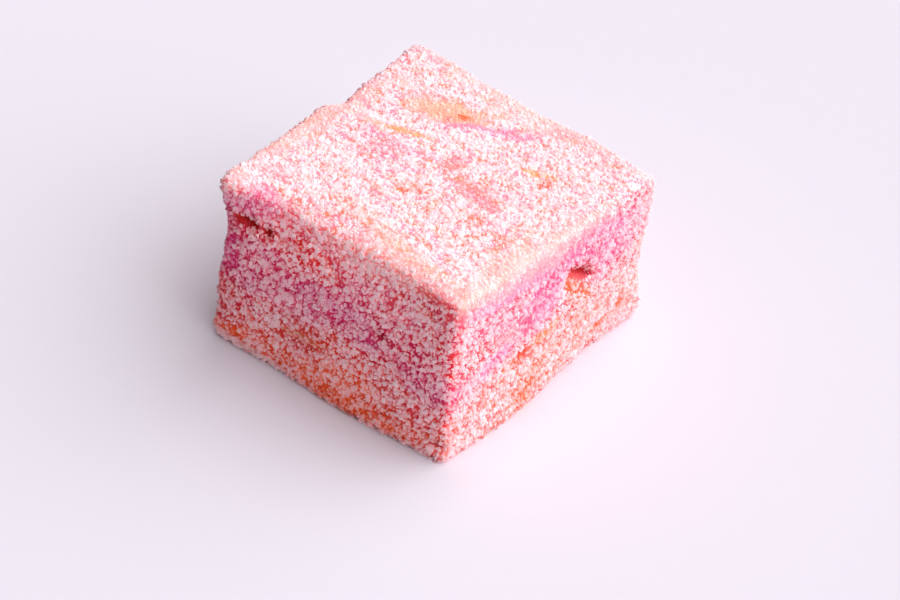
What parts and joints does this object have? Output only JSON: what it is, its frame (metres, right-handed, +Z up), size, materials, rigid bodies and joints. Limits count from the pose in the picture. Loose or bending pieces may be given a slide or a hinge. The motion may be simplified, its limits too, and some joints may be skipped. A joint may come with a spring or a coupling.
{
  "type": "marshmallow",
  "caption": "Soft square-cut block of fruit marshmallow with a pink, magenta and orange swirl, rolled in granulated sugar.",
  "frame": {"origin": "on the base, under the middle of the block's box", "axes": "+Z up, through the block's height; -Y towards the front face, with the magenta band and the orange foot; +X towards the right face, with the burst bubble"},
  "size_m": [0.0522, 0.0546, 0.0308],
  "materials": {
    "sugared_marshmallow": "matt, soft, coated in sugar grains"
  },
  "bodies": {
    "root": {"marshmallow": "sugared_marshmallow"}
  },
  "joints": []
}
